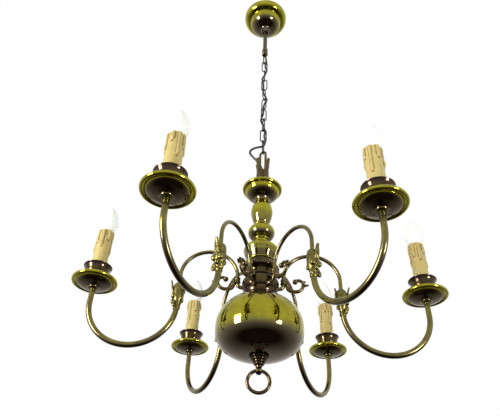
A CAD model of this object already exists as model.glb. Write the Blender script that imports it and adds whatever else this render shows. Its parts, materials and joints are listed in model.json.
"""Six-arm hanging chandelier with candle lamps: its looks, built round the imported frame."""

import json
import math
import bpy
from mathutils import Matrix, Vector, noise


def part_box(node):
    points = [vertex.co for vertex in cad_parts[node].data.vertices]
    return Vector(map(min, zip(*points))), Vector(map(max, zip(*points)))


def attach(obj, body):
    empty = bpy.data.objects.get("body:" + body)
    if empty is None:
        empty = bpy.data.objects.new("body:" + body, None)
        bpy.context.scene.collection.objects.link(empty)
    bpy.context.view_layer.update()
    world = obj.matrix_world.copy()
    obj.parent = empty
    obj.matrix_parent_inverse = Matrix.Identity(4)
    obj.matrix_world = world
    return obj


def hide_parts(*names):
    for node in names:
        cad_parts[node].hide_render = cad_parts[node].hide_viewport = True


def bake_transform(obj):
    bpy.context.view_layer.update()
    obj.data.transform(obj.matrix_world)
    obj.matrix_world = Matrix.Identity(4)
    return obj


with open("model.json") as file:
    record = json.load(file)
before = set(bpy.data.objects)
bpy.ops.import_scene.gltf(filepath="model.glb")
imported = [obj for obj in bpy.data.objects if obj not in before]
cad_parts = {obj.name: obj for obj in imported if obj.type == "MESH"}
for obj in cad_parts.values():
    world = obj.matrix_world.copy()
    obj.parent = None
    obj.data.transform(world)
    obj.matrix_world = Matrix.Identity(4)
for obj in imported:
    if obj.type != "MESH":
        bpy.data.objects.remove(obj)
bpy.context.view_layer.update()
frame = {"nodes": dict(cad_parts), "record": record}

bl_info = {
    "name": "Six-arm chandelier",
    "version": (1, 0, 0),
    "blender": (4, 5, 0),
    "location": "3D View > Sidebar > Chandelier",
    "description": "Builds a brass six-arm chandelier with candle lamps on its frame",
    "category": "Add Mesh",
}

MM = 0.001
ARMS = range(1, 7)
LINKS = range(1, 10)
CREASE = 35  # degrees; sharper edges stay crisp
# In millimetres, as the frame has them
CHAIN_TOP, LINK_PITCH = -185, 32.9
BOW, ARCH = 69, 47  # radii of the arm's two big bends
COLUMN_BORE = 5.1


def middle(node):
    low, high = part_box(node)
    return (low + high) / 2


# Heights in the outlines are in millimetres from the plane of the drip dish rims
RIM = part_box("drip_dish_1")[1].z - 0.4 * MM
CANDLES = [middle(f"candle_sleeve_{i}") for i in ARMS]
REACH = math.hypot(CANDLES[0].x, CANDLES[0].y) / MM
AZIMUTHS = [math.atan2(c.y, c.x) for c in CANDLES]
LINK_TOPS = [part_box(f"chain_link_{k}")[1].z for k in LINKS]


def at_candle(i):
    return (*CANDLES[i - 1].xy, 0)


def link_turn(k):
    """How far the chain's twist has turned link k about the vertical."""
    return math.radians(75 * (k - 8))


def linear(hex_colour):
    """An sRGB hex colour as the linear values that a shader takes."""
    values = [int(hex_colour[i : i + 2], 16) / 255 for i in (1, 3, 5)]
    return [v / 12.92 if v < 0.04045 else ((v + 0.055) / 1.055) ** 2.4 for v in values] + [1]


def colour(name, hex_colour, description):
    return bpy.props.FloatVectorProperty(
        name=name, description=description, default=linear(hex_colour), size=4, min=0, max=1, subtype="COLOR"
    )


def length(name, millimetres, description):
    return bpy.props.FloatProperty(
        name=name, description=description, default=millimetres * MM, min=0, unit="LENGTH", subtype="DISTANCE"
    )


class LampSizes(bpy.types.PropertyGroup):
    round_steps: bpy.props.IntProperty(
        name="Steps round", description="Facets round each turned part", default=96, min=24, max=192
    )
    tube_sides: bpy.props.IntProperty(
        name="Tube sides", description="Facets round each tube", default=24, min=8, max=64
    )
    arm_tube: length("Outer arm tube", 9, "Diameter of the arm below the cast clip")
    arm_rod: length("Inner arm tube", 6.5, "Diameter of the arm above the cast clip")
    cable: length("Cable", 4.4, "Diameter of the supply cable")
    link_wire: length("Link wire", 2.4, "Diameter of the chain's wire")
    drip_relief: length("Drip relief", 1.9, "How far the wax drips stand out")


class LampFinishes(bpy.types.PropertyGroup):
    brass_bright: colour("Bright brass", "#a8a22a", "Lacquered brass where it is rubbed bright")
    brass_dull: colour("Dull brass", "#867c26", "Lacquered brass where the stain has stayed")
    dark_bright: colour("Dark brass", "#5a4b26", "Stained brass on its high places")
    dark_dull: colour("Dark stain", "#2f2613", "Stained brass in its hollows")
    cast_bright: colour("Cast brass", "#80763f", "Cast brass on its rubbed edges")
    cast_dull: colour("Cast hollows", "#40381f", "Cast brass in its hollows")
    steel_bronze: colour("Bronzed steel", "#4a3d2b", "Chain wire")
    wax: colour("Candle wax", "#b5a668", "Moulded candle sleeve")
    wax_shade: colour("Wax shade", "#6b4418", "Brown rubbed in beside the drips")
    bulb: colour("Frosted glass", "#f6f8f4", "Bulb glass")


def sizes():
    return bpy.context.scene.lamp_sizes


def finishes():
    return bpy.context.scene.lamp_finishes


# ---- modelling ----


def clear():
    if bpy.context.object and bpy.context.object.mode != "OBJECT":
        bpy.ops.object.mode_set(mode="OBJECT")
    bpy.ops.object.select_all(action="DESELECT")


def pick(*objects):
    clear()
    for obj in objects:
        obj.select_set(True)
    bpy.context.view_layer.objects.active = objects[0]


def edit_all():
    bpy.ops.object.mode_set(mode="EDIT")
    bpy.ops.mesh.select_all(action="SELECT")


def named(name):
    obj = bpy.context.object
    obj.name = name
    obj.data.name = name
    return obj


def settled(obj, crease=CREASE):
    """Puts the piece's place in its mesh, closes its seams, turns its faces outwards and smooths it."""
    pick(obj)
    bpy.ops.object.transform_apply()
    edit_all()
    bpy.ops.mesh.remove_doubles(threshold=0.004 * MM)
    bpy.ops.mesh.normals_make_consistent(inside=False)
    bpy.ops.object.mode_set(mode="OBJECT")
    bpy.ops.object.shade_smooth_by_angle(angle=math.radians(crease))
    return obj


def modified(obj, kind, **settings):
    pick(obj)
    modifier = obj.modifiers.new(kind.title(), kind)
    for name, value in settings.items():
        setattr(modifier, name, value)
    bpy.ops.object.modifier_apply(modifier=modifier.name)
    return obj


def joined(name, *objects):
    pick(*objects)
    bpy.ops.object.join()
    return named(name)


def copied(obj, name, turn=0.0, move=(0, 0, 0)):
    """A copy with its own mesh, turned about Z and moved."""
    pick(obj)
    bpy.ops.object.duplicate()
    twin = named(name)
    twin.rotation_euler.z = turn
    twin.location = move
    bpy.ops.object.transform_apply()
    return twin


def removed(*objects):
    pick(*objects)
    bpy.ops.object.delete()


def stands(obj, body, slot, *nodes, finish=None):
    """Gives a finished piece its finish, body and material slot, and the CAD nodes it stands for."""
    obj.data.materials.clear()
    obj.data.materials.append(bpy.data.materials[finish or CAD_FINISHES[slot]])
    if body:
        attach(obj, body)
    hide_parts(*nodes)
    return obj


def flowing(points, cuts=4):
    """A smooth line through 2-D points. A point with a third value is a crisp corner."""
    places = [Vector(p[:2]) for p in points]
    crisp = [len(p) > 2 for p in points]
    last = len(places) - 1
    line = [places[0]]
    for i in range(last):
        b, c = places[i], places[i + 1]
        a = b if crisp[i] or i == 0 else places[i - 1]
        d = c if crisp[i + 1] or i + 1 == last else places[i + 2]
        for k in range(1, cuts + 1):
            t = k / cuts
            line.append(
                0.5 * (2 * b + (c - a) * t + (2 * a - 5 * b + 4 * c - d) * t**2
                       + (3 * b - a - 3 * c + d) * t**3)
            )
    return line


def arc(x, z, radius, start, end, cuts=10):
    angles = [math.radians(start + (end - start) * k / cuts) for k in range(cuts + 1)]
    return [Vector((x + radius * math.cos(a), z + radius * math.sin(a))) for a in angles]


def upright(line):
    """A 2-D line stood up in the XZ plane."""
    return [Vector((p.x, 0, p.y)) for p in line]


def turned(name, outline, centre=(0, 0), base=None, steps=None, rounding=0.25):
    """A part turned on a lathe: its outline drawn point by point, then spun all round.
    The outline runs from the axis to the axis, or closes on itself."""
    base = RIM if base is None else base
    line = [Vector((centre[0] + x * MM, centre[1], base + z * MM)) for x, z in outline]
    if outline[0][0] > 0:
        line.append(line[0])
    clear()
    bpy.ops.mesh.primitive_plane_add(size=MM, location=line[0])
    obj = named(name)
    edit_all()
    bpy.ops.mesh.merge(type="CENTER")
    for a, b in zip(line, line[1:]):
        bpy.ops.mesh.extrude_region_move(TRANSFORM_OT_translate={"value": b - a})
    bpy.ops.mesh.select_all(action="SELECT")
    bpy.ops.mesh.remove_doubles(threshold=0.004 * MM)
    bpy.ops.mesh.spin(
        steps=steps or sizes().round_steps, angle=math.tau, center=(*centre, 0), axis=(0, 0, 1),
        use_auto_merge=True
    )
    settled(obj)
    if rounding:
        modified(
            obj, "BEVEL", width=rounding * MM, segments=2, limit_method="ANGLE",
            angle_limit=math.radians(CREASE),
            use_clamp_overlap=True,
        )
        settled(obj)
    return obj


def bent_tube(name, at, facing, radius, moves):
    """A tube from a disc that is extruded and spun along its run. A move is a straight step in millimetres,
    a bend (x, z, degrees) in the XZ plane, or a new radius."""
    clear()
    bpy.ops.mesh.primitive_circle_add(
        vertices=sizes().tube_sides, radius=radius, fill_type="NGON", location=at, rotation=facing
    )
    obj = named(name)
    edit_all()
    here = Vector(at)
    for kind, *values in moves:
        if kind == "step":
            step = Vector(values) * MM
            bpy.ops.mesh.extrude_region_move(TRANSFORM_OT_translate={"value": step})
            here += step
        elif kind == "bend":
            x, z, degrees = values
            pivot = Vector((x * MM, here.y, RIM + z * MM))
            bpy.ops.mesh.spin(
                steps=max(4, round(abs(degrees) / 4)), angle=-math.radians(degrees), center=pivot,
                axis=(0, 1, 0)
            )
            here = pivot + Matrix.Rotation(math.radians(degrees), 3, "Y") @ (here - pivot)
        else:
            bpy.ops.transform.resize(value=(values[0],) * 3, center_override=here)
    return settled(obj)


def swept(name, path, radius, sides=12):
    """A round bar, extruded ring by ring and laid along a path. Its radius is a function of 0 to 1."""
    clear()
    bpy.ops.mesh.primitive_circle_add(vertices=sides, radius=1, fill_type="NGON")
    obj = named(name)
    edit_all()
    for _ in path[1:]:
        bpy.ops.mesh.extrude_region_move(TRANSFORM_OT_translate={"value": (0, 0, 1)})
    bpy.ops.object.mode_set(mode="OBJECT")
    last = len(path) - 1
    across = Vector((0, 1, 0))
    frames = []
    for i, p in enumerate(path):
        along = (path[min(i + 1, last)] - path[max(i - 1, 0)]).normalized()
        across = (across - across.dot(along) * along).normalized()
        frames.append((p, across.copy(), across.cross(along)))
    for v in obj.data.vertices:
        ring = round(v.co.z)
        p, a, b = frames[ring]
        size = radius(ring / last)
        v.co = p + (a * v.co.x + b * v.co.y) * size
    return settled(obj, 50)


def leaf(name, spine, width, cup, thick, tip):
    """A cast leaf in the XZ plane: a grid laid along its spine, cupped across and given its thickness.
    The spine and the greatest half width are in millimetres."""
    clear()
    bpy.ops.mesh.primitive_grid_add(x_subdivisions=20, y_subdivisions=8, size=1)
    obj = named(name)
    line = flowing(spine, 10)
    last = len(line) - 1
    for v in obj.data.vertices:
        u, across = v.co.x + 0.5, v.co.y * 2
        at = u * last
        i = min(int(at), last - 1)
        p = line[i].lerp(line[i + 1], at - i)
        way = (line[i + 1] - line[i]).normalized()
        half = width * (math.sin(math.pi * min(1, u * 0.62 + 0.3)) ** 0.8 * (1 - u**6) + tip * u**6)
        rise = cup * half * across**2 - 0.25 * math.exp(-((across / 0.16) ** 2))
        rise += 0.12 * half * math.cos(across * 3 * math.pi) * (1 - u)
        v.co = Vector((p.x - way.y * rise, across * half, p.y + way.x * rise)) * MM
    modified(obj, "SOLIDIFY", thickness=thick * MM, offset=0)
    modified(obj, "SUBSURF", levels=1, render_levels=1)
    return settled(obj, 60)


def bead(name, at, radius, squash=1.0, eye=0.0):
    """A cast ball, squashed upright, with an eye pressed into its outer side."""
    clear()
    bpy.ops.mesh.primitive_uv_sphere_add(segments=20, ring_count=12, radius=radius * MM,
                                         location=Vector(at) * MM)
    obj = named(name)
    for v in obj.data.vertices:
        inward = max(0, 1 - v.co.yz.length / (0.6 * radius * MM))
        if v.co.x > 0:
            v.co.x -= eye * inward * radius * MM
        v.co.z *= squash
    return settled(obj, 60)


def roughened(obj, relief, grain, lobes=0):
    """The soft unevenness of a casting: every point moves a little along its normal."""
    normals = [v.normal.copy() for v in obj.data.vertices]
    for v, n in zip(obj.data.vertices, normals):
        turn = math.atan2(v.co.y, v.co.x)
        amount = noise.noise(v.co / (grain * MM)) + (0.8 * math.cos(turn * lobes) if lobes else 0)
        v.co += n * amount * relief * MM
    return obj


# ---- finishes ----

# The finish that each of the CAD's material slots takes
CAD_FINISHES = {
    "antique_brass": "lacquered_brass",
    "dark_brass": "stained_brass",
    "cast_brass": "sand_cast_brass",
    "bronzed_steel": "bronzed_wire",
    "zinc_steel": "zinc_plate",
    "cable_pvc": "pvc_sheath",
    "lamp_holder": "pressed_phenolic",
    "candle_cream": "candle_wax",
    "bulb_glass": "frosted_bulb",
}


def worn(obj, stained, rubbed):
    """Writes how a turned part was rubbed back: the stain left inside one radius, none outside the other."""
    wear = obj.data.attributes.new("wear", "FLOAT", "POINT")
    for n, v in enumerate(obj.data.vertices):
        share = (v.co.xy.length / MM - stained) / (rubbed - stained)
        wear.data[n].value = 2 * min(1, max(0, share)) - 1
    return obj


def add(tree, kind, values=(), links=(), **settings):
    """One shader node with its settings, the values of its sockets and the links into it."""
    node = tree.nodes.new(f"ShaderNode{kind}")
    for name, value in settings.items():
        setattr(node, name, value)
    for socket, value in dict(values).items():
        node.inputs[socket].default_value = value
    for socket, source in dict(links).items():
        tree.links.new(source, node.inputs[socket])
    return node


def dial(shader, values):
    for socket, value in values.items():
        shader.inputs[socket].default_value = value


def new_finish(name):
    material = bpy.data.materials.new(name)
    material.use_nodes = True
    tree = material.node_tree
    shader = tree.nodes["Principled BSDF"]
    place = add(tree, "TexCoord").outputs["Object"]
    return material, tree, shader, place


def metal(name, bright, dull, patch, rough, spread=0.12, speck=0.7, depth=0.02, edge=0.0, coat=0.0,
          turning=0.0,
          underside=None, facing_down=(0.0, -0.5)):
    """Stained and lacquered metal: clouds of stain the size of patch, specks, rubbed edges and lathe rings.
    The surfaces that face down kept the stain of the colour underside; facing_down is the upright part of the
    normal where that stain begins and where it is full."""
    material, tree, shader, place = new_finish(name)
    clouds = add(
        tree, "TexNoise", {"Scale": 1 / (patch * MM), "Detail": 5, "Roughness": 0.6}, {"Vector": place}
    )
    specks = add(
        tree, "TexNoise", {"Scale": 1 / (speck * MM), "Detail": 3, "Roughness": 0.6}, {"Vector": place}
    )
    stain = add(
        tree, "MapRange", {"From Min": 0.35, "From Max": 0.68}, {"Value": clouds.outputs["Fac"]}
    ).outputs["Result"]
    tone = add(tree, "Mix", {6: bright, 7: dull}, {0: stain}, data_type="RGBA").outputs[2]
    if underside:
        facing = add(tree, "SeparateXYZ", {}, {0: add(tree, "TexCoord").outputs["Normal"]}).outputs["Z"]
        down = add(
            tree, "MapRange", {"From Min": facing_down[0], "From Max": facing_down[1]}, {"Value": facing},
            interpolation_type="SMOOTHSTEP",
        ).outputs["Result"]
        wear = add(tree, "Attribute", attribute_name="wear").outputs["Fac"]
        down = add(tree, "Math", {}, {0: down, 1: wear}, operation="SUBTRACT", use_clamp=True).outputs[0]
        tone = add(tree, "Mix", {7: underside}, {0: down, 6: tone}, data_type="RGBA").outputs[2]
    if edge:
        raised = add(
            tree, "MapRange", {"From Min": 0.5, "From Max": 0.56, "To Max": edge},
            {"Value": add(tree, "NewGeometry").outputs["Pointiness"]},
        ).outputs["Result"]
        tone = add(tree, "Mix", {7: bright}, {0: raised, 6: tone}, data_type="RGBA").outputs[2]
        sunk = add(
            tree, "MapRange", {"From Min": 0.5, "From Max": 0.44, "To Max": edge},
            {"Value": add(tree, "NewGeometry").outputs["Pointiness"]},
        ).outputs["Result"]
        tone = add(
            tree, "Mix", {7: [c * 0.3 for c in dull[:3]] + [1]}, {0: sunk, 6: tone}, data_type="RGBA"
        ).outputs[2]
    tree.links.new(tone, shader.inputs["Base Color"])
    gloss = add(
        tree, "MapRange", {"From Min": 0.3, "From Max": 0.7, "To Min": rough, "To Max": rough + spread},
        {"Value": specks.outputs["Fac"]},
    )
    tree.links.new(gloss.outputs["Result"], shader.inputs["Roughness"])
    height = specks.outputs["Fac"]
    if turning:
        rings = add(
            tree, "TexWave", {"Scale": 1 / (turning * MM * math.tau), "Distortion": 0.4},
            {"Vector": place}, bands_direction="Z",
        )
        height = add(tree, "Math", {}, {0: height, 1: rings.outputs["Fac"]}, operation="ADD").outputs[0]
    bump = add(tree, "Bump", {"Strength": 0.35, "Distance": depth * MM}, {"Height": height})
    tree.links.new(bump.outputs["Normal"], shader.inputs["Normal"])
    dial(shader, {"Metallic": 1, "Coat Weight": coat, "Coat Roughness": 0.06})
    return material


def moulded(name, bright, dull, patch, rough, depth=0.03):
    """Moulded or extruded plastic and ceramic: a slightly cloudy colour under a fine orange-peel skin."""
    material, tree, shader, place = new_finish(name)
    clouds = add(tree, "TexNoise", {"Scale": 1 / (patch * MM), "Detail": 4}, {"Vector": place})
    skin = add(tree, "TexNoise", {"Scale": 1 / (0.6 * MM), "Detail": 2}, {"Vector": place})
    tone = add(tree, "Mix", {6: bright, 7: dull}, {0: clouds.outputs["Fac"]}, data_type="RGBA")
    tree.links.new(tone.outputs[2], shader.inputs["Base Color"])
    gloss = add(tree, "MapRange", {"To Min": rough, "To Max": rough + 0.15}, {"Value": skin.outputs["Fac"]})
    tree.links.new(gloss.outputs["Result"], shader.inputs["Roughness"])
    bump = add(tree, "Bump", {"Strength": 0.3, "Distance": depth * MM}, {"Height": skin.outputs["Fac"]})
    tree.links.new(bump.outputs["Normal"], shader.inputs["Normal"])
    shader.inputs["IOR"].default_value = 1.5
    return material


def candle_wax(name):
    """Moulded candle sleeve: ivory plastic that lets some light in, brown stain wiped into its grooves."""
    material, tree, shader, place = new_finish(name)
    clouds = add(
        tree, "TexNoise", {"Scale": 1 / (9 * MM), "Detail": 5, "Roughness": 0.65}, {"Vector": place}
    )
    groove = add(tree, "Attribute", attribute_name="groove").outputs["Fac"]
    uneven = add(
        tree, "MapRange", {"From Min": 0.3, "From Max": 0.75, "To Min": 0.75, "To Max": 1.5},
        {"Value": clouds.outputs["Fac"]},
    ).outputs["Result"]
    stain = add(tree, "Math", {}, {0: groove, 1: uneven}, operation="MULTIPLY", use_clamp=True).outputs[0]
    yellowed = add(
        tree, "Mix", {6: finishes().wax, 7: linear("#a18d4e")}, {0: clouds.outputs["Fac"]},
        data_type="RGBA",
    ).outputs[2]
    tone = add(tree, "Mix", {7: finishes().wax_shade}, {0: stain, 6: yellowed}, data_type="RGBA").outputs[2]
    tree.links.new(tone, shader.inputs["Base Color"])
    bump = add(tree, "Bump", {"Strength": 0.4, "Distance": 0.15 * MM}, {"Height": clouds.outputs["Fac"]})
    tree.links.new(bump.outputs["Normal"], shader.inputs["Normal"])
    dial(shader, {"Roughness": 0.42, "Subsurface Weight": 0.12, "Subsurface Scale": 3 * MM})
    return material


def frosted_glass(name):
    """Acid-frosted bulb glass: milky, with a soft sheen and a slightly uneven frost."""
    material, tree, shader, place = new_finish(name)
    frost = add(tree, "TexNoise", {"Scale": 1 / (2 * MM), "Detail": 4}, {"Vector": place})
    tone = add(
        tree, "Mix", {6: finishes().bulb, 7: linear("#e9eeea")}, {0: frost.outputs["Fac"]},
        data_type="RGBA",
    )
    tree.links.new(tone.outputs[2], shader.inputs["Base Color"])
    gloss = add(tree, "MapRange", {"To Min": 0.25, "To Max": 0.4}, {"Value": frost.outputs["Fac"]})
    tree.links.new(gloss.outputs["Result"], shader.inputs["Roughness"])
    shader.inputs["Transmission Weight"].default_value = 0.35
    # Light from the room behind it, scattered through the frost
    dial(shader, {"Emission Color": finishes().bulb, "Emission Strength": 0.05, "IOR": 1.45})
    return material


class LAMP_OT_finishes(bpy.types.Operator):
    """Makes the finishes that the pieces take"""

    bl_idname = "lamp.finishes"
    bl_label = "Finishes"

    def execute(self, context):
        tint = finishes()
        stain_below = linear("#5f5447")
        # Spun and turned brass: olive gold where it was rubbed back, grey-brown stain left on what faces down
        metal("lacquered_brass", tint.brass_bright, tint.brass_dull, 24, 0.05, 0.06, depth=0.002, edge=0.5,
              coat=0.1,
              turning=0.9, underside=stain_below)
        # The same brass on the wide thin parts, where only the flat undersides kept the stain
        metal("rubbed_brass", tint.brass_bright, tint.brass_dull, 24, 0.06, 0.07, depth=0.002, edge=0.5,
              coat=0.1,
              turning=0.9, underside=stain_below, facing_down=(-0.5, -0.96))
        # Drawn brass tube, bent and stained: dull olive brown, with a softer shine than the turned parts
        metal("stained_tube", linear("#857b3a"), linear("#5a5239"), 16, 0.14, 0.1, depth=0.004, edge=0.3,
              coat=0.1,
              underside=linear("#51483b"))
        # The turned brass where most of the brown stain was left on
        metal("stained_brass", tint.dark_bright, tint.dark_dull, 14, 0.1, 0.08, depth=0.004, edge=0.5,
              coat=0.2,
              turning=0.9, underside=linear("#43352c"))
        # Sand-cast brass: olive gold on its edges, dull brown in its hollows, slightly pitted
        metal("sand_cast_brass", tint.cast_bright, tint.cast_dull, 6, 0.24, 0.14, 0.9, 0.06, edge=0.6,
              coat=0.05)
        # The same castings with the brown stain left on
        metal("stained_casting", linear("#6a5c38"), linear("#3a3023"), 6, 0.18, 0.14, 0.9, 0.06, edge=0.7,
              coat=0.1)
        # Bronzed steel wire: nearly black, with a dull sheen
        metal("bronzed_wire", tint.steel_bronze, linear("#221b12"), 5, 0.3, 0.15, 0.5, 0.03, edge=0.3)
        # Bright zinc plating on pressed steel
        metal("zinc_plate", linear("#b9bcbb"), linear("#8f9496"), 8, 0.3, 0.2, 0.6, 0.03)
        # Extruded black PVC sheath
        moulded("pvc_sheath", linear("#17161a"), linear("#0d0c0f"), 6, 0.32)
        # Pressed off-white phenolic
        moulded("pressed_phenolic", linear("#ded8c6"), linear("#cfc6ad"), 7, 0.35)
        candle_wax("candle_wax")
        frosted_glass("frosted_bulb")
        # Matt studio paper
        moulded("studio_floor", linear("#e9e8e4"), linear("#e2e1dc"), 400, 0.8, 0.2)
        for part in frame["record"]["subparts"]:
            for slot in frame["nodes"][part["node"]].material_slots:
                slot.material = bpy.data.materials[CAD_FINISHES[part["material_slot"]]]
        return {"FINISHED"}


# ---- ceiling side ----


class LAMP_OT_canopy(bpy.types.Operator):
    """Builds the ceiling cup and the collar under its stem"""

    bl_idname = "lamp.canopy"
    bl_label = "Canopy"

    def execute(self, context):
        outer = (
            [Vector((52, -0.6)), Vector((52, -3.6))]
            + arc(38, -4, 14, 0, -62, 8)
            + flowing([(44.4, -16.6), (40.5, -18.1, 1)], 3)[1:]
            + flowing([(40.5, -18.1, 1), (38.2, -19, 1), (37.6, -24), (33.6, -34.6), (26.5, -41.6),
                       (17, -46.2),
                       (11.6, -48.6), (9.4, -51, 1), (8.8, -53.4, 1)], 4)[1:]
            + flowing([(8.8, -53.4, 1), (8.2, -56), (7.1, -63), (6.9, -66, 1), (5.3, -66, 1),
                       (5.3, -52, 1)], 3)[1:]
        )
        inner = flowing(
            [(8, -50, 1), (13, -46.2), (25.2, -40.8), (32.4, -33.8), (36.6, -24), (37, -18.2, 1),
             (43.8, -15.6),
             (50.8, -6), (50.8, -0.6, 1)], 4
        )
        stands(worn(turned("canopy_cup", outer + inner, base=0), 33, 37.5), "canopy", "antique_brass",
               "canopy",
               finish="rubbed_brass")
        outline = flowing(
            [(0, -158, 1), (5.4, -158, 1), (6.8, -156, 1), (6.8, -150), (6.3, -148.4), (6.8, -146.8),
             (6.8, -136.4, 1), (6.2, -135, 1), (5.05, -135, 1), (5.05, -141, 1), (0, -141, 1)], 3
        )
        collar = turned("stem_collar_body", outline, base=0, steps=48)
        turn = link_turn(0)
        wire, bar, slack = 2.4, 1.5, 0.3
        bottom = CHAIN_TOP - wire - bar - slack
        path = [Vector((5, 0, -156))] + upright(arc(0, bottom + 5, 5, 0, -180, 16))
        path.append(Vector((-5, 0, -156)))
        path = [Matrix.Rotation(turn, 3, "Z") @ p * MM for p in path]
        loop = swept("stem_collar_loop", path, lambda t: bar * MM, 12)
        stands(joined("stem_collar_loop", collar, loop), "ceiling", "dark_brass", "stem_collar")
        return {"FINISHED"}


def link_path(width, height, wire, cuts=14):
    """The centre line of one oval link whose top is at zero, as a closed run in the XZ plane."""
    r = (width - wire) / 2
    top, bottom = -wire / 2 - r, -height + wire / 2 + r
    return (
        upright(arc(0, top, r, 0, 180, cuts))
        + upright(arc(0, bottom, r, 180, 360, cuts))
    )


class LAMP_OT_chain(bpy.types.Operator):
    """Builds the nine links of the chain"""

    bl_idname = "lamp.chain"
    bl_label = "Chain"

    def execute(self, context):
        wire = sizes().link_wire / MM
        ring = link_path(14.4, 38, wire)
        # The joint in the bent wire stands halfway down one side
        gap = Vector((ring[0].x, 0, (ring[0].z + ring[-1].z) / 2))
        path = [gap + Vector((0, 0, 0.12))] + ring + [gap - Vector((0, 0, 0.12))]
        path = [p * MM for p in path]
        pattern = swept("link_pattern", path, lambda t: wire / 2 * MM, 14)
        for k in LINKS:
            link = copied(pattern, f"link_{k}", link_turn(k), (0, 0, LINK_TOPS[k - 1]))
            stands(roughened(link, 0.05, 3), f"link_{k}", "bronzed_steel", f"chain_link_{k}")
        removed(pattern)
        return {"FINISHED"}


# The supply cable: the points that it follows, in millimetres from the ceiling
JOINTS = [-189.2] + [LINK_TOPS[k] / MM - 1.2 for k in range(1, 9)] + [-485.0]


def round_at(radius, degrees, z):
    return (radius * math.cos(math.radians(degrees)), radius * math.sin(math.radians(degrees)), z)


def cable_route():
    weave = []
    for k in range(9):
        crossing = CHAIN_TOP - LINK_PITCH * (k - 1) - 36.8 + 1.2
        turn = 37.5 - 90 + 105 * (8 - k)
        weave.append(round_at(6, turn, crossing))
        if k < 8:
            weave.append(round_at(1.8, turn - 52.5, crossing - LINK_PITCH / 2))
    start = [
        (0, 0, -1), (0, 0, -60), (0, 0, -128), (0, 0, -140), (0.6, 1.5, -148), (2, 5, -156), (3.8, 9, -165),
        (4.5, 10.5, -175),
    ]
    end = [
        (3, -2.6, -459), (0, -0.3, -464.5), (-8, -2, -469.5), (-17, -4, -475), (-24, -5, -482),
        (-26, -5, -489),
        (-23.5, -5, -496), (-17.5, -4.4, -503), (-11.5, -3.6, -510.5), (-6.5, -2.6, -518),
        (-2.6, -1.2, -525.5),
        (-0.4, -0.2, -534), (0, 0, -545), (0, 0, -600), (0, 0, -700), (0, 0, -804), (0, -1.2, -812),
        (0, -5, -820),
        (0, -9.5, -826), (0, -11, -832), (0, -11, -839.6),
    ]
    route = [Vector(p) for p in start + weave + end]
    for _ in range(2):
        finer = []
        for i, p in enumerate(route[:-1]):
            a, c = route[max(i - 1, 0)], route[i + 1]
            d = route[min(i + 2, len(route) - 1)]
            finer += [p, (-a + 9 * p + 9 * c - d) / 16]
        route = finer + [route[-1]]
    return route


class LAMP_OT_cable(bpy.types.Operator):
    """Builds the supply cable in one length to each chain joint"""

    bl_idname = "lamp.cable"
    bl_label = "Cable"

    def execute(self, context):
        route = cable_route()
        cuts = [0] + [(a + b) / 2 for a, b in zip(JOINTS, JOINTS[1:])] + [-10000]
        for n, joint in enumerate(JOINTS):
            # Each length runs 1.5 mm into the next one
            part = [p for p in route if cuts[n + 1] - 1.5 <= p.z <= cuts[n] + 1.5]
            piece = swept(f"cable_{n + 1}", [p * MM for p in part], lambda t: sizes().cable / 2, 12)
            stands(piece, None, "cable_pvc", "supply_cable")
            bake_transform(piece)
        return {"FINISHED"}


# ---- column ----


def drilled(outline, bore):
    """The outline closed down the bore, from its last point back to its first."""
    return outline + [Vector((bore, outline[-1][1])), Vector((bore, outline[0][1]))]


class LAMP_OT_column(bpy.types.Operator):
    """Builds the turned parts of the column, from the dish at its top to the ring on the hub"""

    bl_idname = "lamp.column"
    bl_label = "Column"

    def execute(self, context):
        dish = (
            flowing([(12.5, 181.5, 1), (13.2, 183), (14.6, 185.2), (17, 187), (24, 191), (29.6, 196.8),
                     (31.6, 201.4), (31.9, 204.2, 1)], 4)
            + arc(32.8, 208.5, 4, -95, 165, 14)
            + flowing([(28.6, 208.4, 1), (27.2, 203.6), (22, 195.8), (15.6, 190.9), (12, 190, 1)], 4)
        )
        stands(worn(turned("top_dish_bowl", drilled(dish, COLUMN_BORE)), 27, 31), "pendant",
               "antique_brass", "top_dish",
               finish="rubbed_brass")
        egg = flowing(
            [(12.7, 127.5, 1), (13.4, 128.6), (14.4, 131), (17.2, 140), (19.2, 149), (19.5, 156), (18.6, 163),
             (16.2, 171), (13.6, 177), (12.4, 179.4), (12.4, 181.4, 1)], 4
        )
        stands(turned("egg", drilled(egg, COLUMN_BORE)), "pendant", "antique_brass", "column_egg")
        knob = (
            flowing([(12.8, 90.6, 1), (14.4, 91.2), (14.8, 93), (14.4, 94.6), (13.2, 95.3, 1)], 3)
            + arc(9.4, 108.5, 14, -64, 64, 20)
            + flowing([(13.4, 122.1, 1), (14.8, 122.9), (15.1, 124.4), (14.6, 126.2), (12.6, 127.4, 1)], 3)
        )
        stands(turned("knob", drilled(knob, COLUMN_BORE)), "pendant", "antique_brass", "column_knob")
        vase = (
            flowing([(22.6, 48.8, 1), (23.4, 50), (24.6, 52.6), (27.6, 59.4), (28.7, 63.7)], 4)
            + arc(20.5, 68.5, 9.5, -22, 70, 14)[1:]
            + flowing([(23.2, 77.6), (19.6, 79.2), (15.6, 80.9, 1), (14.2, 82.2), (13, 85.4),
                       (12.8, 90.5, 1)], 3)[1:]
        )
        stands(turned("vase", drilled(vase, COLUMN_BORE)), "pendant", "antique_brass", "column_vase")
        ring = arc(23.2, 46.9, 1.8, -90, 90, 12)
        stands(turned("vase_foot_ring", drilled(ring, 20)), "pendant", "antique_brass", "vase_ring")
        return {"FINISHED"}


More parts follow.
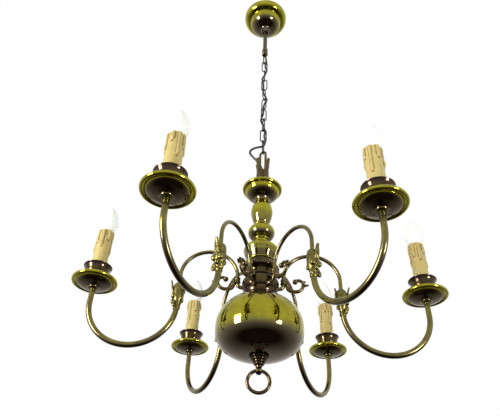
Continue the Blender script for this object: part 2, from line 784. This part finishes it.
class LAMP_OT_hub(bpy.types.Operator):
    """Builds the hub that the arms enter and the collar between it and the ball"""

    bl_idname = "lamp.hub"
    bl_label = "Hub"

    def execute(self, context):
        hub = flowing(
            [(26.8, -8.9, 1), (28.2, -7.4), (29.4, -4.6), (30.2, 0), (30.3, 5), (28.6, 9.5), (25.8, 13),
             (24.5, 18), (25.4, 23.6), (28.6, 26.6), (30.8, 29, 1), (31.3, 30.6), (31.2, 32.2), (30, 34.5, 1),
             (26.6, 37, 1), (25.8, 40), (25.4, 43, 1), (22.5, 45, 1)], 4
        )
        stands(turned("hub", drilled(hub, COLUMN_BORE)), "pendant", "dark_brass", "arm_hub")
        cap = flowing(
            [(20, -21.8, 1), (23.2, -21.6, 1), (25.2, -19.2), (26.6, -16.4), (27.2, -13.6), (26.9, -10.6),
             (26.4, -9, 1)], 4
        )
        stands(turned("ball_collar", drilled(cap, 15)), "pendant", "dark_brass", "hub_cap")
        return {"FINISHED"}


class LAMP_OT_ball(bpy.types.Operator):
    """Builds the big spun ball and the finial under it"""

    bl_idname = "lamp.ball"
    bl_label = "Ball"

    def execute(self, context):
        wide, wall, centre = 68.6, 1.2, -75

        def shell(inset, start, end, cuts):
            points = []
            for k in range(cuts + 1):
                a = math.radians(start + (end - start) * k / cuts)
                s, c = math.sin(a), math.cos(a)
                tall, power = (54.5, 2.15) if c > 0 else (44.5, 2.7)
                points.append(Vector((
                    (wide - inset) * s ** (2 / power),
                    centre + (tall - inset) * math.copysign(abs(c) ** (2 / power), c),
                )))
            return points

        outline = shell(0, 8, 176, 96) + list(reversed(shell(wall, 8, 176, 48)))
        ball = turned("ball_shell", outline, steps=144, rounding=0)
        stands(ball, "pendant", "antique_brass", "ball")
        finial = flowing(
            [(5.1, -119.7, 1), (13.4, -119.7, 1), (15, -120.2), (15.6, -121.2), (15.4, -122.4),
             (13.2, -123.2, 1),
             (12.6, -123.8, 1), (12.9, -124.6), (12.4, -126), (10.4, -126.6, 1), (9.9, -127.2, 1),
             (10.2, -128),
             (9.8, -129.2), (8.3, -129.9, 1), (7.8, -130.5, 1), (8.1, -131.3), (7.6, -132.6),
             (6.2, -133.3, 1),
             (5, -134, 1), (4.6, -135.2), (4.8, -137, 1), (5.1, -127.6, 1)], 3
        )
        turned_part = turned("finial_steps", finial, steps=64, rounding=0.15)
        clear()
        bpy.ops.mesh.primitive_torus_add(
            major_segments=40, minor_segments=16, major_radius=4.6 * MM, minor_radius=1.9 * MM,
            location=(0, 0, RIM - 141 * MM), rotation=(0, math.radians(90), 0),
        )
        eye = named("finial_eye")
        for v in eye.data.vertices:
            v.co.z *= 2.1 if v.co.xy.length > 4.6 * MM else 1.5
        settled(eye)
        stands(joined("finial_steps", turned_part, eye), "pendant", "dark_brass", "finial")
        return {"FINISHED"}


class LAMP_OT_pull_ring(bpy.types.Operator):
    """Builds the loose ring in the finial's eye"""

    bl_idname = "lamp.pull_ring"
    bl_label = "Pull ring"

    def execute(self, context):
        hang = RIM - (141 + 16.4) * MM
        clear()
        bpy.ops.mesh.primitive_torus_add(
            major_segments=72, minor_segments=20, major_radius=16.4 * MM, minor_radius=2.6 * MM,
            location=(0, 0, hang), rotation=(math.radians(90), 0, 0),
        )
        ring = settled(named("ring"))
        stands(roughened(ring, 0.08, 7), "pull_ring", "dark_brass", "pull_ring")
        return {"FINISHED"}


class LAMP_OT_hanger(bpy.types.Operator):
    """Builds the cast leaf finial that the chain hooks into"""

    bl_idname = "lamp.hanger"
    bl_label = "Hanger"

    def execute(self, context):
        core = turned("hanger_core", drilled(flowing(
            [(14, 190.2, 1), (14.4, 191.4), (13.6, 193.2), (9.8, 196.6), (8.4, 201), (8.6, 206), (10.4, 214),
             (11.2, 224), (10.2, 236), (8.6, 248), (8, 256, 1), (7, 258, 1)], 4), 3.4), steps=72)
        roughened(core, 0.3, 5, 6)
        turn = Matrix.Rotation(link_turn(10), 3, "Z")
        crown = 308.5
        path = [Vector((6, 0, 250)), Vector((6.2, 0, 276))]
        path += upright(arc(0, crown - 6, 6, 0, 180, 16))
        path += [Vector((-6.2, 0, 276)), Vector((-6, 0, 250))]
        path = [turn @ p * MM + Vector((0, 0, RIM)) for p in path]
        loop = swept("hanger_loop", path, lambda t: (2.0 + 0.9 * (2 * t - 1) ** 4) * MM, 14)
        parts = [core, loop]
        up = [(9.5, 198), (12.6, 206), (13.8, 218), (12.6, 232), (11.4, 248), (11.8, 262), (14.2, 272),
              (16, 282)]
        low = [(8, 200), (11.6, 203), (14.4, 210), (15.6, 218), (13.4, 223.6), (11, 221)]
        for n, degrees in enumerate((45, 135, 225, 315)):
            blade = leaf("hanger_leaf", up, 7.4, 0.35, 2.6, 0.42)
            parts.append(copied(blade, "hanger_leaf", math.radians(degrees), (0, 0, RIM)))
            removed(blade)
            curl = leaf("hanger_curl", low, 5.4, 0.3, 2.4, 0.6)
            parts.append(copied(curl, "hanger_curl", math.radians(degrees + 45), (0, 0, RIM)))
            removed(curl)
            knob = bead("hanger_bead", (13.2, 0, 201), 3)
            parts.append(copied(knob, "hanger_bead", math.radians(degrees + 45), (0, 0, RIM)))
            removed(knob)
        stands(joined("hanger_casting", *parts), "pendant", "cast_brass", "hanger", finish="stained_casting")
        return {"FINISHED"}


# ---- arms and candles ----


class LAMP_OT_arms(bpy.types.Operator):
    """Builds the six bent arms"""

    bl_idname = "lamp.arms"
    bl_label = "Arms"

    def execute(self, context):
        elbow = 8
        inner = REACH - 2 * BOW
        leg = inner - 2 * ARCH
        outer_r, inner_r = sizes().arm_tube / 2, sizes().arm_rod / 2
        at = (REACH * MM, 0, RIM + 15 * MM)
        pattern = bent_tube("arm_pattern", at, (math.pi, 0, 0), outer_r, [
            ("step", 0, 0, -15), ("step", 0, 0, -40),
            ("bend", REACH - BOW, -40, 180),
            ("step", 0, 0, 21), ("size", inner_r / outer_r), ("step", 0, 0, 36),
            ("bend", inner - ARCH, 17, -180),
            ("step", 0, 0, -12),
            ("bend", leg - elbow, 5, 90),
            ("step", 16 - (leg - elbow), 0, 0),
        ])
        for i in ARMS:
            stands(copied(pattern, f"arm_tube_{i}", AZIMUTHS[i - 1]), "pendant", "antique_brass", f"arm_{i}",
                   finish="stained_tube")
        removed(pattern)
        return {"FINISHED"}


class LAMP_OT_dishes(bpy.types.Operator):
    """Builds the drip dish under each candle"""

    bl_idname = "lamp.dishes"
    bl_label = "Drip dishes"

    def execute(self, context):
        under = flowing(
            [(7.4, -15.4, 1), (8.3, -15.2, 1), (8.9, -14.2), (8.9, -13.2, 1), (8.2, -12.5, 1), (12, -11.5),
             (20, -10.1), (26, -8), (28.8, -5.9), (29.8, -4.4, 1), (30.9, -4.9, 1)], 4
        )
        lip = arc(33.6, -3, 3.4, -105, 165, 16)
        bowl = flowing([(30.2, -2.3, 1), (29, -2.9), (26, -5.6), (19, -8.2), (12, -8.9), (9, -7.1, 1)], 4)
        pattern = worn(turned("dish_pattern", drilled(under + lip + bowl, 4.55)), 26, 30.5)
        for i in ARMS:
            dish = copied(pattern, f"dish_{i}", AZIMUTHS[i - 1], at_candle(i))
            stands(dish, "pendant", "antique_brass", f"drip_dish_{i}", finish="rubbed_brass")
        removed(pattern)
        return {"FINISHED"}


class LAMP_OT_cups(bpy.types.Operator):
    """Builds the flared cup round the foot of each candle"""

    bl_idname = "lamp.cups"
    bl_label = "Candle cups"

    def execute(self, context):
        outline = flowing(
            [(4.6, -7, 1), (8.6, -7, 1), (9.2, -5.8), (8.8, -4, 1), (7.6, -2), (7.6, -0.6, 1), (9.4, 1, 1),
             (13, 2.8), (16.4, 5), (18.8, 9), (19.5, 13), (20, 17), (21.4, 21), (23.3, 23.9, 1), (23.5, 24.6),
             (23.2, 25, 1), (22.2, 24.9, 1), (20.6, 21.6), (19, 17.4), (18.4, 13), (17.4, 9.8), (15.4, 7.6),
             (14, 6.9, 1), (4.6, 6.9, 1)], 4
        )
        pattern = turned("cup_pattern", outline, steps=72)
        for i in ARMS:
            cup = copied(pattern, f"cup_{i}", AZIMUTHS[i - 1], at_candle(i))
            stands(cup, "pendant", "dark_brass", "candle_cups")
        removed(pattern)
        return {"FINISHED"}


# The drips of one candle: place round the sleeve in degrees, half width in degrees, length in millimetres
DRIPS = (
    (10, 14, 25), (52, 11, 41), (95, 15, 20), (139, 11, 46), (183, 14, 28), (227, 12, 36), (270, 14, 22),
    (317, 12, 50),
)


def drip_height(turn, z, top):
    """How far the wax stands out there, from 0 to 1, and how deep the stain lies beside it."""
    raised, shade = 0.0, 0.0
    for place, half, long in DRIPS:
        off = (turn - place + 180) % 360 - 180
        down = top - z
        fade = min(1, max(0, (long - down) / 6))
        swell = 1 + 0.5 * math.exp(-(((down - long + 6) / 5) ** 2))
        across = abs(off) / (half * (0.62 + 0.38 * math.exp(-down / 18)) * (0.8 + 0.2 * swell))
        body = max(0, 1 - across**2) ** 0.5 * fade**0.5 * swell if across < 1 else 0
        raised = max(raised, body)
        beside = math.exp(-(((across - 1.14) / 0.27) ** 2)) * (1 if down < long - 2 else 0)
        under = math.exp(-(((down - long - 1.2) / 1.6) ** 2)) * (1 if across < 1.1 else 0)
        shade = max(shade, beside * min(1, down / 6), under)
    return raised, shade * (1 - min(1, raised * 1.6))


class LAMP_OT_candles(bpy.types.Operator):
    """Builds the moulded wax sleeves with their drips"""

    bl_idname = "lamp.candles"
    bl_label = "Candles"

    def execute(self, context):
        top, foot, wide = 97, 7, 12.6
        relief = sizes().drip_relief
        outline = (
            [Vector((12.05, foot))]
            + [Vector((wide, foot + (top - 3 - foot) * k / 60)) for k in range(61)]
            + arc(wide - 2.6, top - 2.8, 2.6, 0, 105, 7)[1:]
            + [Vector((9.9, top - 3.4)), Vector((9.9, top - 12)), Vector((12.05, top - 16))]
        )
        pattern = turned("sleeve_pattern", outline, steps=144, rounding=0)
        for i in ARMS:
            twist = 0.7 + 2.1 * i
            sleeve = copied(pattern, f"sleeve_{i}")
            stain = sleeve.data.attributes.new("groove", "FLOAT", "POINT")
            for n, v in enumerate(sleeve.data.vertices):
                r = v.co.xy.length
                if r < 9.95 * MM or r < 12.3 * MM and v.co.z < RIM + (top - 4) * MM:
                    continue
                turn = math.degrees(math.atan2(v.co.y, v.co.x)) % 360
                z = (v.co.z - RIM) / MM
                out, shade = drip_height(turn, z, top)
                uneven = 0.35 * noise.noise(v.co / (11 * MM))
                soft = min(1, max(0, (r - 9.9 * MM) / (2.4 * MM)))
                grow = (out * soft + uneven) * relief * (0.62 if z > top - 4 else 1)
                v.co.x += v.co.x / r * grow
                v.co.y += v.co.y / r * grow
                if z > top - 4:
                    v.co.z += 0.8 * MM * noise.noise(Vector((v.co.x, v.co.y, i)) / (6 * MM)) - 0.4 * MM
                stain.data[n].value = shade
            pick(sleeve)
            bpy.ops.object.shade_smooth()
            sleeve.rotation_euler.z = twist
            sleeve.location = at_candle(i)
            bpy.ops.object.transform_apply()
            stands(sleeve, "pendant", "candle_cream", f"candle_sleeve_{i}")
        removed(pattern)
        return {"FINISHED"}


class LAMP_OT_bulbs(bpy.types.Operator):
    """Builds the frosted candle bulbs with their screw caps"""

    bl_idname = "lamp.bulbs"
    bl_label = "Bulbs"

    def execute(self, context):
        glass = flowing(
            [(0, 150, 1), (1.6, 149.6), (3.2, 148.2), (7, 143.8), (12.4, 133), (15.6, 124), (17, 115.5),
             (15.9, 107.6), (12.4, 101), (9, 95.6), (8, 90.7, 1), (0, 90.7, 1)], 5
        )
        bulb = turned("bulb_pattern", glass, steps=64, rounding=0)
        threads = [Vector((0, 64)), Vector((3.4, 64)), Vector((5.4, 66.4)), Vector((6.4, 67.2))]
        for k in range(6):
            threads += arc(6.3, 69.2 + k * 3, 0.65, -90, 90, 4)
            threads.append(Vector((6.05, 70.6 + k * 3)))
        threads += [Vector((6.6, 87.4)), Vector((7, 90.4)), Vector((0, 90.4))]
        cap = turned("cap_pattern", threads, steps=40, rounding=0)
        for i in ARMS:
            at = at_candle(i)
            stands(copied(bulb, f"bulb_glass_{i}", 0, at), f"bulb_{i}", "bulb_glass", f"bulb_{i}")
            stands(copied(cap, f"bulb_cap_{i}", 0, at), f"bulb_{i}", "zinc_steel", f"bulb_{i}")
        removed(bulb, cap)
        return {"FINISHED"}


class LAMP_OT_clips(bpy.types.Operator):
    """Builds the cast leaf clip on each arm"""

    bl_idname = "lamp.clips"
    bl_label = "Leaf clips"

    def execute(self, context):
        core = turned("clip_core", drilled(flowing(
            [(5, -46, 1), (5.6, -44), (5.5, -40), (6.4, -36), (8, -31), (9.1, -25), (9.3, -18), (9.1, -11),
             (8.7, -6), (7.6, -2.6), (5.8, -0.4, 1), (4.4, 0.8, 1), (3.6, 1.4, 1)], 4), 3.3), base=0,
             steps=64)
        roughened(core, 0.25, 5)
        # One finger of a leaf leans out over the arm, a smaller one lies against it on the inside
        parts = [
            core,
            leaf("clip_finger", [(6, -20), (8.8, -13), (9.6, -8), (10.6, -3), (11.8, 1.4), (13.2, 5.4)],
                 3.5, -0.5, 2.6,
                 0.62),
            leaf("clip_finger", [(-6, -22), (-8.6, -15), (-8.9, -8), (-8.4, -3), (-9, 1), (-10.4, 3.6)],
                 3.4, 0.4,
                 2, 0.5),
            bead("clip_nose", (7.6, 0, -33), 3.2, 1.5),
        ]
        for side in (-1, 1):
            parts.append(bead("clip_eye", (6.2, side * 5.4, -25.4), 4.6, 1.15, 0.3))
            parts.append(bead("clip_back_bead", (-6, side * 4.6, -29), 3.2, 1.3))
            curl = [Vector((x, side * y, z)) * MM for x, y, z in (
                (3.6, 4.4, -34), (4.4, 6.4, -37), (4.6, 8.4, -40.4), (4.4, 8.2, -43.6), (4.2, 6.2, -44.6))]
            parts.append(swept("clip_curl", curl, lambda t: (2.6 - 0.9 * t) * MM, 10))
            parts.append(bead("clip_curl_end", (4.2, side * 6.4, -42.6), 2.9))
        pattern = joined("clip_pattern", *parts)
        for i in ARMS:
            foot = (REACH - 2 * BOW) * MM
            at = (foot * math.cos(AZIMUTHS[i - 1]), foot * math.sin(AZIMUTHS[i - 1]), RIM)
            clip = copied(pattern, f"clip_{i}", AZIMUTHS[i - 1], at)
            stands(clip, "pendant", "cast_brass", "arm_clips")
        removed(pattern)
        return {"FINISHED"}


class LAMP_OT_scrolls(bpy.types.Operator):
    """Builds the cast scroll at the foot of each arm"""

    bl_idname = "lamp.scrolls"
    bl_label = "Scrolls"

    def execute(self, context):
        leg = REACH - 2 * BOW - 2 * ARCH
        collar = turned("scroll_collar", drilled(flowing(
            [(4.4, 4.8, 1), (5.4, 6), (5.1, 8), (4.6, 10), (5, 12), (4.8, 14.4), (3.8, 15.4, 1)], 3), 3.3),
            centre=(leg * MM, 0), base=0, steps=32)
        stem = [Vector((42.4, 0, 13)), Vector((43.2, 0, 10))]
        stem += upright(arc(57, 7, 13.5, 180, 360, 20))
        stem += upright(arc(62.5, 7, 8, 15, 140, 10))
        j_bar = swept("scroll_stem", [p * MM for p in stem], lambda t: (3.3 - 0.8 * t) * MM, 14)
        ball = bead("scroll_ball", (57.2, 0, 12), 4.5)
        turned_boss = turned("scroll_boss", [
            Vector(p[:2]) for p in flowing([(0, 0, 1), (4.7, 0, 1), (5, 1.6), (4.6, 3.2, 1), (3.4, 3.4, 1),
                                            (3.3, 4.6), (2.2, 6.2), (0, 7, 1)], 3)], base=0, steps=32)
        turned_boss.rotation_euler.y = math.radians(90)
        turned_boss.location = ((leg + 3.6) * MM, 0, 3 * MM)
        settled(turned_boss)
        sprout = leaf("scroll_sprout", [(67.6, 3), (72, 5), (75.6, 5.6), (79.4, 7.4)], 3.4, 0.3, 2.6, 0.35)
        spur = leaf("scroll_spur", [(69, 9), (71.4, 11.4), (73, 12.4), (74.8, 12.8)], 2.6, 0.3, 2.2, 0.5)
        husk = leaf("scroll_husk", [(45, 10), (43.4, 3), (45.6, -3.6), (50, -8)], 3.8, -0.4, 2.2, 0.5)
        pattern = joined("scroll_pattern", collar, j_bar, ball, turned_boss, sprout, spur, husk)
        for i in ARMS:
            scroll = copied(pattern, f"scroll_{i}", AZIMUTHS[i - 1], (0, 0, RIM))
            stands(scroll, "pendant", "cast_brass", "arm_scrolls", finish="stained_casting")
        removed(pattern)
        return {"FINISHED"}


# ---- stage ----


class LAMP_OT_stage(bpy.types.Operator):
    """Sets the floor, the studio light and the camera"""

    bl_idname = "lamp.stage"
    bl_label = "Stage"

    def execute(self, context):
        scene = context.scene
        scene.view_settings.view_transform = "Standard"
        clear()
        bpy.ops.mesh.primitive_grid_add(x_subdivisions=4, y_subdivisions=4, size=60, location=(0, 0, -2.5))
        floor = named("floor")
        bpy.ops.object.transform_apply(location=True)
        floor.data.materials.append(bpy.data.materials["studio_floor"])
        floor.visible_glossy = False

        # A white backdrop for the eye and an even soft light. The metal reflects one plain fade,
        # pale above and dark below
        world = bpy.data.worlds.new("studio")
        scene.world = world
        world.use_nodes = True
        tree = world.node_tree
        tree.nodes.clear()
        way = add(tree, "TexCoord").outputs["Generated"]
        up = add(tree, "SeparateXYZ", {}, {0: way}).outputs["Z"]
        height = add(tree, "MapRange", {"From Min": -1.0, "From Max": 1.0}, {"Value": up})
        fade = add(tree, "ValToRGB", {}, {0: height.outputs["Result"]})
        stops = fade.color_ramp.elements
        stops[0].position, stops[0].color = 0.08, linear("#3a2e25")
        stops[1].position, stops[1].color = 0.5, linear("#f4f4f0")
        mirrored = add(tree, "Background", {"Strength": 1.0}, {"Color": fade.outputs[0]})
        soft = add(tree, "Background", {"Color": linear("#f4f4f0"), "Strength": 0.62})
        white = add(tree, "Background", {"Color": (1, 1, 1, 1), "Strength": 1.0})
        ray = add(tree, "LightPath").outputs
        mix = add(tree, "MixShader", {}, {
            0: ray["Is Glossy Ray"], 1: soft.outputs[0], 2: mirrored.outputs[0]
        })
        mix = add(tree, "MixShader", {}, {0: ray["Is Camera Ray"], 1: mix.outputs[0], 2: white.outputs[0]})
        add(tree, "OutputWorld", {}, {"Surface": mix.outputs[0]})

        for name, at, size, power in (
            ("softbox_left", (-1.5, -0.95, -0.72), (0.5, 0.95), 46),
            ("softbox_right", (1.22, -1.18, -1.06), (0.36, 0.42), 19),
        ):
            lamp = bpy.data.lights.new(name, "AREA")
            lamp.shape = "RECTANGLE"
            lamp.size, lamp.size_y = size
            lamp.energy = power
            box = bpy.data.objects.new(name, lamp)
            scene.collection.objects.link(box)
            aim = Vector((0, 0, RIM - 40 * MM)) - Vector(at)
            box.matrix_world = Matrix.Translation(at) @ aim.to_track_quat("-Z", "Y").to_matrix().to_4x4()

        pitch, yaw, roll = math.radians(38.85), math.radians(0.51), math.radians(2.15)
        ahead = Vector((math.sin(yaw) * math.cos(pitch), math.cos(yaw) * math.cos(pitch), math.sin(pitch)))
        level = Vector((math.cos(yaw), -math.sin(yaw), 0))
        above = level.cross(ahead)
        right = math.cos(roll) * level + math.sin(roll) * above
        top = math.cos(roll) * above - math.sin(roll) * level
        lens = bpy.data.cameras.new("camera")
        lens.sensor_width = 36
        lens.lens = 38.2
        camera = bpy.data.objects.new("camera", lens)
        scene.collection.objects.link(camera)
        turn = Matrix((right, top, -ahead)).transposed()
        camera.matrix_world = Matrix.Translation((-0.0285, -0.755, RIM - 0.4438)) @ turn.to_4x4()
        scene.camera = camera
        return {"FINISHED"}


PIECES = (
    LAMP_OT_finishes, LAMP_OT_stage, LAMP_OT_canopy, LAMP_OT_chain, LAMP_OT_cable, LAMP_OT_hanger,
    LAMP_OT_column, LAMP_OT_hub, LAMP_OT_ball, LAMP_OT_pull_ring, LAMP_OT_arms, LAMP_OT_dishes, LAMP_OT_cups,
    LAMP_OT_candles, LAMP_OT_bulbs, LAMP_OT_clips, LAMP_OT_scrolls,
)


class LAMP_PT_panel(bpy.types.Panel):
    bl_label = "Chandelier"
    bl_idname = "LAMP_PT_panel"
    bl_space_type = "VIEW_3D"
    bl_region_type = "UI"
    bl_category = "Chandelier"

    def draw(self, context):
        for group in (context.scene.lamp_sizes, context.scene.lamp_finishes):
            column = self.layout.column()
            for name in group.bl_rna.properties.keys():
                if name not in ("name", "rna_type"):
                    column.prop(group, name)
        for piece in PIECES:
            self.layout.operator(piece.bl_idname)


CLASSES = (LampSizes, LampFinishes, *PIECES, LAMP_PT_panel)


def register():
    for item in CLASSES:
        bpy.utils.register_class(item)
    bpy.types.Scene.lamp_sizes = bpy.props.PointerProperty(type=LampSizes)
    bpy.types.Scene.lamp_finishes = bpy.props.PointerProperty(type=LampFinishes)


def unregister():
    del bpy.types.Scene.lamp_finishes
    del bpy.types.Scene.lamp_sizes
    for item in reversed(CLASSES):
        bpy.utils.unregister_class(item)


def main():
    register()
    for piece in PIECES:
        family, name = piece.bl_idname.split(".")
        getattr(getattr(bpy.ops, family), name)()


if __name__ == "__main__":
    main()
